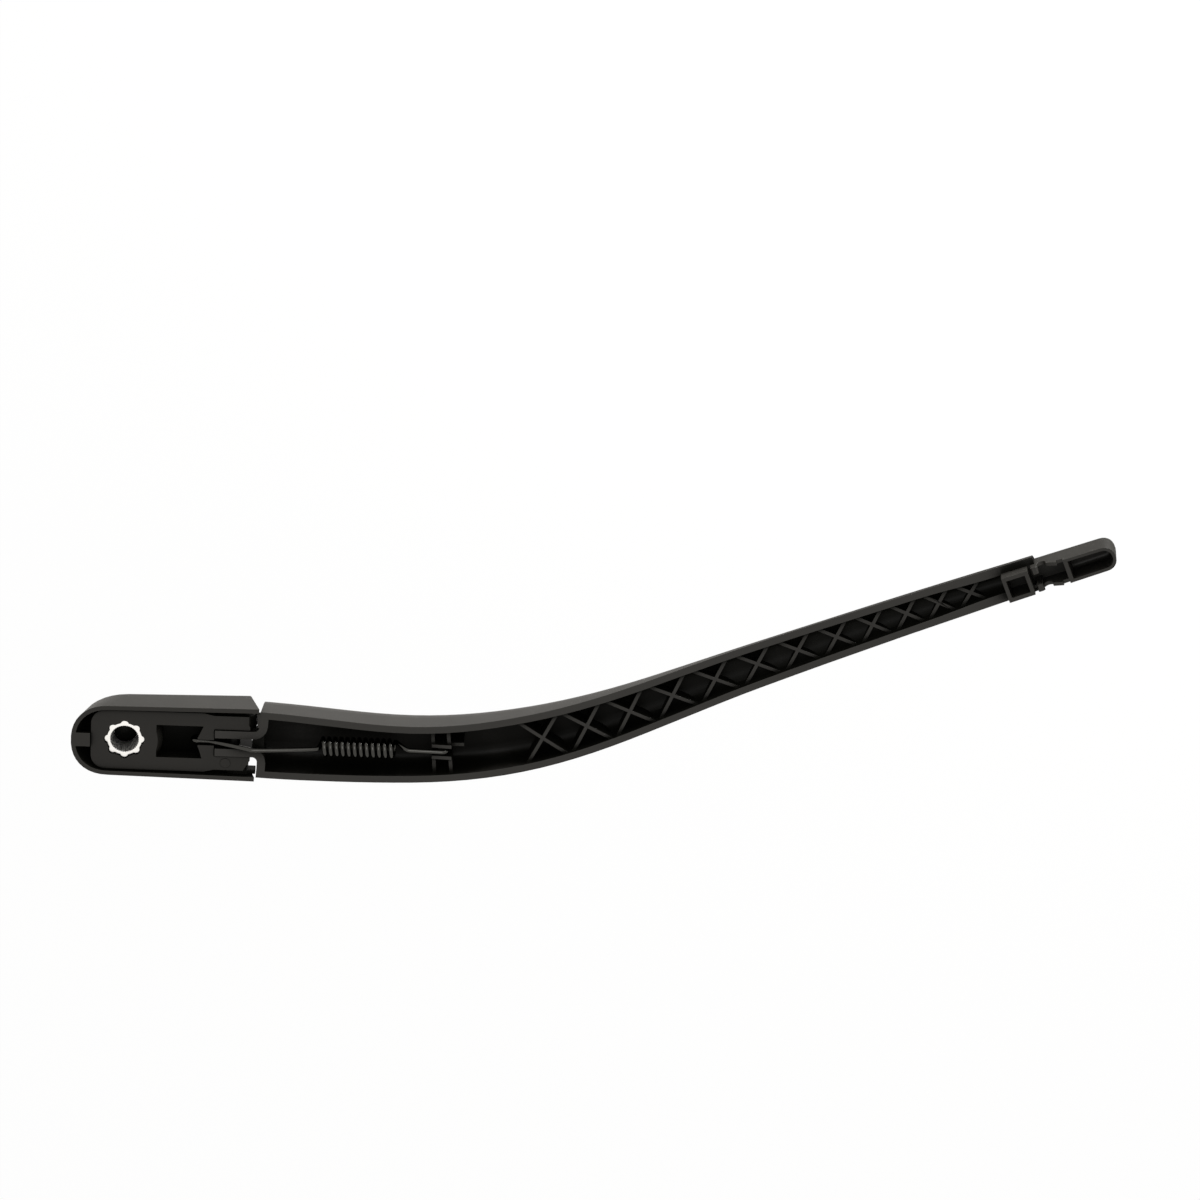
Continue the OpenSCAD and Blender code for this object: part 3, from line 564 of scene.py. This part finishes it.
# %% Ejector mark
EJECTOR = Vector((35.9, -7.7, 5.2))
EJECTOR_R = 1.75
EJECTOR_HEIGHT = 0.24

disc("ejector_mark", EJECTOR, 0, EJECTOR_R, EJECTOR_HEIGHT, head_black, "head")

# %% [markdown]
# ## Teeth of the insert
# The taper in the insert is pressed full of fine teeth that bite on the spindle. A bump map could draw
# them, but the photograph looks right into the bore, where real teeth catch the light. One tooth is a
# three-sided bar. It is laid on the taper's slope, and the spin operator repeats it round the axis.

# %% Teeth
BORE_R = 4.1 * MM
MOUTH_R = 5.15 * MM
TAPER_H = 4.3 * MM
TEETH = 40
TOOTH = 0.36 * MM
BAR_LENGTH = 0.86 * TAPER_H
INTO_WALL = 0.3 * TOOTH  # how deep the bar's middle lies in the wall, so that only its edge stands out

slope = asin((MOUTH_R - BORE_R) / TAPER_H)
bm = bmesh.new()
bar = bmesh.ops.create_cone(
    bm, segments=3, radius1=TOOTH, radius2=TOOTH, depth=BAR_LENGTH, cap_ends=True
)["verts"]
bmesh.ops.rotate(bm, cent=(0, 0, 0), matrix=Matrix.Rotation(pi, 3, "Z"), verts=bar)
bmesh.ops.rotate(bm, cent=(0, 0, 0), matrix=Matrix.Rotation(slope, 3, "Y"), verts=bar)
bmesh.ops.translate(bm, vec=((BORE_R + MOUTH_R) / 2 + INTO_WALL, 0, 0.5 * TAPER_H), verts=bar)
bmesh.ops.spin(
    bm, geom=bm.verts[:] + bm.edges[:] + bm.faces[:], cent=(0, 0, 0), axis=(0, 0, 1), dvec=(0, 0, 0),
    angle=2 * pi * (TEETH - 1) / TEETH, steps=TEETH - 1, use_duplicate=True,
)
teeth = link("insert_teeth", bm, cast_metal)
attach(teeth, "head")
print("teeth:", TEETH)

# %% [markdown]
# ## The line of the tension spring
# One wire makes the whole spring: a hook round the nose of the head, a straight stretch over the pin, the
# coil, and a hook round the anchor bar in the arm. A Screw modifier could wind the coil, but not the
# ends that grow out of it. So the wire's middle line is built as one list of points: arcs for the hooks, a
# helix for the coil, and smooth curves that leave one part and arrive at the next along its own way.

# %% Spring line
HOOK_STEP = 15
HOOK_R = 1.93 * MM
TAIL = 3 * MM
ANCHOR_R = 2.13 * MM
ANCHOR_TAIL = 2 * MM
COIL_R = 3.0 * MM
TURNS = 12
PITCH = 2.15 * MM
COIL_STEP = 15
FIRST, LAST = -120, TURNS * 360 - 150  # degrees at which the wire joins and leaves the helix


def mm(x, y, z):
    """A place or a way given in millimetres."""
    return Vector((x, y, z)) * MM


NOSE = mm(26.0, 0, 1.8)
NOSE_TOP = NOSE + Vector((0, 0, HOOK_R))
NOSE_END = Vector((29.8 * MM, 0, NOSE_TOP.z))
LIFT = mm(45.3, -0.9, 8.3)
COIL = mm(71.1, -1.1, 2.6)
NEAR_COIL = COIL + mm(-3, -0.2, 2)
LEAD = COIL + mm(PITCH * TURNS / MM + 4.2, 0.4, 1.7)
ANCHOR = mm(112.7, -1.1, 1.77)


def between(p0, d0, p1, d1, count):
    """Points on a smooth curve from p0 to p1 that leaves along d0 and arrives along d1, ends left out."""
    for k in range(1, count):
        t = k / count
        yield (
            (2 * t**3 - 3 * t**2 + 1) * p0 + (t**3 - 2 * t**2 + t) * d0
            + (3 * t**2 - 2 * t**3) * p1 + (t**3 - t**2) * d1
        )


def coil_point(turn):
    """Where the helix is after so many degrees."""
    a = radians(turn)
    return COIL + Vector((PITCH * turn / 360, -COIL_R * sin(a), COIL_R * cos(a)))


def coil_way(turn):
    """The way in which the helix runs there."""
    a = radians(turn)
    return COIL_R * pi / 2 * Vector((0, -cos(a), -sin(a)))


def arc(centre, radius, first, last, step):
    """Points on an arc in the plane of the arm's length and height."""
    for angle in range(first, last, step):
        a = radians(angle)
        yield centre + radius * Vector((cos(a), 0, sin(a)))


line = [NOSE + Vector((TAIL, 0, -HOOK_R))]
line += arc(NOSE, HOOK_R, -90, -271, -HOOK_STEP)
line += [NOSE_END]
line += between(NOSE_END, mm(4, 0, 0), LIFT, mm(5, -0.6, 2), 6)
line += [LIFT]
line += between(LIFT, mm(6, -0.3, -0.1), NEAR_COIL, mm(6, 0, -2.0), 8)
line += [NEAR_COIL]
line += between(NEAR_COIL, mm(4, -0.2, -0.6), coil_point(FIRST), coil_way(FIRST), 10)
line += [coil_point(turn) for turn in range(FIRST, LAST + 1, COIL_STEP)]
line += between(line[-1], coil_way(LAST), LEAD, mm(5, -0.5, 0), 10)
line += [LEAD]
line += arc(ANCHOR, ANCHOR_R, 90, -91, -HOOK_STEP)
line += [ANCHOR + Vector((-ANCHOR_TAIL, 0, -ANCHOR_R))]
print("wire length in mm:", round(sum((b - a).length for a, b in zip(line, line[1:])) / MM, 1))

# %% [markdown]
# ## The pulled wire
# A curve object with a round bevel would be quick, but it twists freely where the line turns in all three
# directions. Here a round section is pulled along the line: at each point the last ring is extruded, turned
# just as much as the wire turns, and moved on. The rings stay square to the wire, and both ends are closed.

# %% Pulled wire
WIRE_R = 0.8 * MM
WIRE_SIDES = 14


def pull_wire(bm, line, radius, sides):
    """A round section pulled along the line, closed at both ends."""
    last = len(line) - 1
    ways = [(line[min(i + 1, last)] - line[max(i - 1, 0)]).normalized() for i in range(len(line))]
    ring = bmesh.ops.create_circle(bm, cap_ends=True, radius=radius, segments=sides)["verts"]
    turn = Vector((0, 0, 1)).rotation_difference(ways[0]).to_matrix()
    bmesh.ops.rotate(bm, cent=(0, 0, 0), matrix=turn, verts=ring)
    bmesh.ops.translate(bm, vec=line[0], verts=ring)
    edges = [e for e in bm.edges if e.verts[0] in ring and e.verts[1] in ring]
    for i in range(1, len(line)):
        made = bmesh.ops.extrude_edge_only(bm, edges=edges)["geom"]
        ring = [g for g in made if isinstance(g, bmesh.types.BMVert)]
        edges = [
            g for g in made
            if isinstance(g, bmesh.types.BMEdge) and g.verts[0] in ring and g.verts[1] in ring
        ]
        turn = ways[i - 1].rotation_difference(ways[i]).to_matrix()
        bmesh.ops.rotate(bm, cent=line[i - 1], matrix=turn, verts=ring)
        bmesh.ops.translate(bm, vec=line[i] - line[i - 1], verts=ring)
    bmesh.ops.contextual_create(bm, geom=edges)
    bmesh.ops.recalc_face_normals(bm, faces=bm.faces)
    for face in bm.faces:
        face.smooth = len(face.verts) == 4


bm = bmesh.new()
pull_wire(bm, line, WIRE_R, WIRE_SIDES)
print("wire faces:", len(bm.faces))
spring = link("spring_wire", bm, spring_wire)
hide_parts("tension_spring")
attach(spring, "arm")
